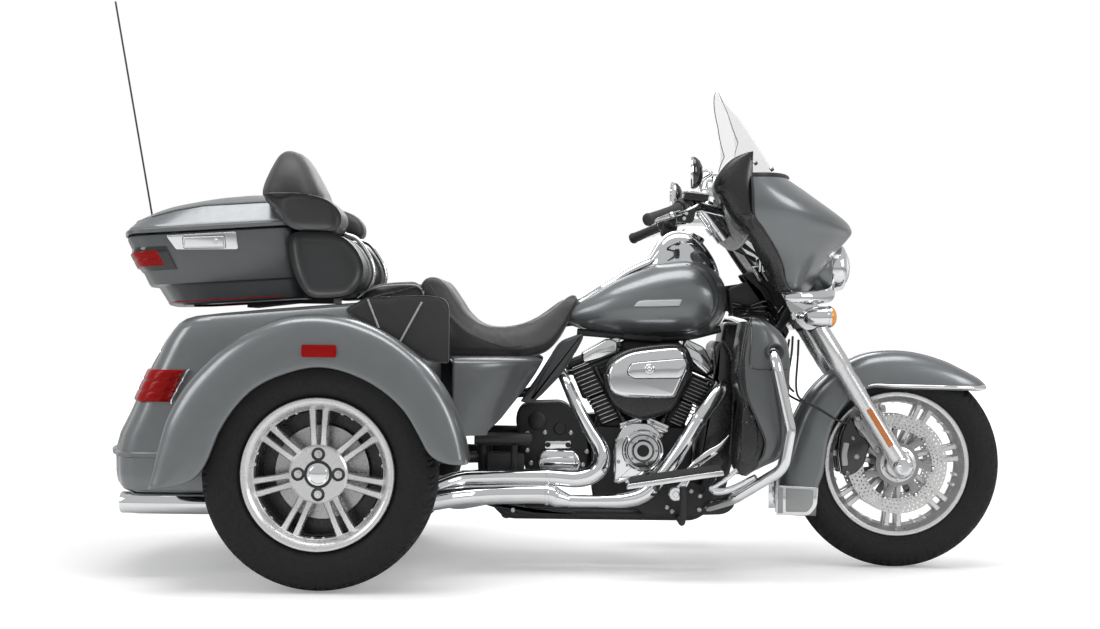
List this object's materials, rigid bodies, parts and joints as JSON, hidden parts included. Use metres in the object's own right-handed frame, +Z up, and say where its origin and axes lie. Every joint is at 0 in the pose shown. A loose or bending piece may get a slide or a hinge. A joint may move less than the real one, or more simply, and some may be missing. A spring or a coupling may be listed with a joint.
{
  "type": "motorized touring tricycle",
  "caption": "Full-dress touring trike with fork-mounted fairing, V-twin engine, solid rear axle, lockable trunk and lidded luggage box.",
  "frame": {"origin": "on the floor, below the middle of the whole machine", "axes": "+X forward, +Y to the rider's left, +Z up"},
  "size_m": [2.7789, 1.402, 1.7433],
  "materials": {
    "amber_lens": "clear amber",
    "black_metal": "satin black",
    "black_plastic": "grained",
    "chrome": "polished",
    "grip": "ribbed",
    "lamp": "polished bucket with clear lens",
    "paint": "satin metallic grey paint",
    "red_lens": "clear red",
    "screen": "clear",
    "steel": "brushed",
    "tyre": "matt",
    "vinyl": "stitched vinyl over foam",
    "wheel_silver": "machined satin"
  },
  "bodies": {
    "chassis": {"air_cleaner": "chrome", "antenna": "black_metal", "cam_cover": "chrome", "crankcase": "black_metal", "cylinders": "black_metal", "engine_guard": "chrome", "exhaust": "chrome", "floorboards": "black_metal", "foot_controls": "chrome", "frame": "black_metal", "fuel_tank": "paint", "lower_fairings": "paint", "lower_inners": "black_plastic", "luggage_mount": "black_metal", "primary_cover": "chrome", "pushrod_tubes": "chrome", "rear_axle": "black_metal", "rear_body": "paint", "rear_fenders": "paint", "rear_lamps": "red_lens", "rocker_covers": "chrome", "seat": "vinyl", "side_covers": "black_plastic", "side_skirts": "paint", "speaker_pods": "vinyl", "tank_console": "chrome", "tour_box": "paint", "transmission": "black_metal"},
    "steering": {"fork": "chrome", "fork_crowns": "black_metal", "handlebar": "chrome", "grips": "grip", "hand_controls": "chrome", "mirrors": "chrome", "outer_fairing": "paint", "headlamp": "lamp", "inner_fairing": "black_plastic", "windshield": "screen", "lamp_bar": "chrome", "signal_lenses": "amber_lens", "front_fender": "paint", "fender_trim": "chrome", "front_calipers": "black_metal"},
    "front_wheel": {"front_wheel": "wheel_silver", "front_tyre": "tyre", "front_rotors": "steel"},
    "right_rear_wheel": {"right_rear_wheel": "wheel_silver", "right_rear_tyre": "tyre"},
    "left_rear_wheel": {"left_rear_wheel": "wheel_silver", "left_rear_tyre": "tyre"},
    "trunk_door": {"trunk_door": "paint"},
    "tour_lid": {"tour_lid": "paint", "lid_backrest": "vinyl"}
  },
  "joints": [
    {"name": "steering", "type": "hinge", "parent": "chassis", "child": "steering", "pos_m": [0.77881, 0, 0.8], "axis": [-0.4384, 0, 0.8988], "range_deg": [-30, 30]},
    {"name": "front_wheel_spin", "type": "hinge", "parent": "steering", "child": "front_wheel", "pos_m": [1.07, 0, 0.317], "axis": [0, 1, 0], "continuous": true},
    {"name": "right_rear_wheel_spin", "type": "hinge", "parent": "chassis", "child": "right_rear_wheel", "pos_m": [-0.6, -0.557, 0.318], "axis": [0, 1, 0], "continuous": true},
    {"name": "left_rear_wheel_spin", "type": "hinge", "parent": "chassis", "child": "left_rear_wheel", "pos_m": [-0.6, 0.557, 0.318], "axis": [0, 1, 0], "continuous": true},
    {"name": "trunk_door_hinge", "type": "hinge", "parent": "chassis", "child": "trunk_door", "pos_m": [-1.148, 0, 0.6375], "axis": [0, 1, 0], "range_deg": [0, 75]},
    {"name": "tour_lid_hinge", "type": "hinge", "parent": "chassis", "child": "tour_lid", "pos_m": [-1.12415, 0.297, 0.97552], "axis": [-0.9977, 0, -0.068], "range_deg": [0, 80]}
  ]
}
